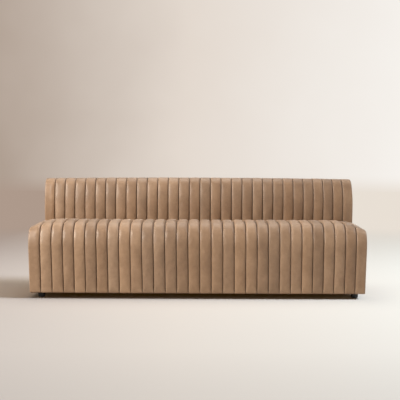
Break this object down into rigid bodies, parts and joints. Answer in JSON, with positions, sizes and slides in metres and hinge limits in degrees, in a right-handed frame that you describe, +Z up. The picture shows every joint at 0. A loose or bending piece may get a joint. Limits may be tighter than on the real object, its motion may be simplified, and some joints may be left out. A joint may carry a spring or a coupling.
{
  "type": "upholstered banquette bench",
  "caption": "Long armless bench in tan leather, with upright padded channels over its seat, front and low rounded back, on short black feet.",
  "frame": {"origin": "on the floor, in the middle of the bench's footprint", "axes": "+X along the bench to the viewer's right, +Y from the front to the rear, +Z up"},
  "size_m": [2.134, 0.6799, 0.762],
  "materials": {
    "tan_leather": "soft semi-matt tan leather",
    "channel_stuffing": "white fibre-wrapped foam",
    "upholstery_foam": "open-cell foam",
    "backing_cloth": "plain woven cloth",
    "upholstery_felt": "grey needled felt",
    "dust_cloth": "black spun-bonded cloth",
    "plywood": "sanded birch plywood",
    "hardwood": "planed beech",
    "spring_steel": "dark oiled spring steel",
    "zinc_steel": "bright zinc",
    "black_foot": "satin black",
    "glide_plastic": "matt black"
  },
  "bodies": {
    "root": {"seat_cover": "tan_leather", "back_cover": "tan_leather", "left_end_cover": "tan_leather", "right_end_cover": "tan_leather", "rear_cover": "tan_leather", "seat_channel_pad": "channel_stuffing", "back_channel_pad": "channel_stuffing", "left_end_pad": "channel_stuffing", "right_end_pad": "channel_stuffing", "seat_foam": "upholstery_foam", "front_foam": "upholstery_foam", "back_foam": "upholstery_foam", "seat_backing": "backing_cloth", "back_backing": "backing_cloth", "rear_felt": "upholstery_felt", "spring_insulator": "upholstery_felt", "dust_cover": "dust_cloth", "left_gable": "plywood", "right_gable": "plywood", "rib_1": "plywood", "rib_2": "plywood", "rib_3": "plywood", "front_panel": "plywood", "rear_panel": "plywood", "back_shell": "plywood", "seat_front_rail": "hardwood", "seat_rear_rail": "hardwood", "base_front_rail": "hardwood", "base_rear_rail": "hardwood", "back_mid_rail": "hardwood", "back_top_rail": "hardwood", "corner_block_front_left": "hardwood", "corner_block_front_right": "hardwood", "corner_block_rear_left": "hardwood", "corner_block_rear_right": "hardwood", "seat_springs": "spring_steel", "spring_clips": "spring_steel", "gable_screws": "zinc_steel", "foot_studs": "zinc_steel", "foot_tee_nuts": "zinc_steel", "foot_front_left": "black_foot", "foot_front_right": "black_foot", "foot_rear_left": "black_foot", "foot_rear_right": "black_foot", "foot_glide_front_left": "glide_plastic", "foot_glide_front_right": "glide_plastic", "foot_glide_rear_left": "glide_plastic", "foot_glide_rear_right": "glide_plastic"}
  },
  "joints": []
}
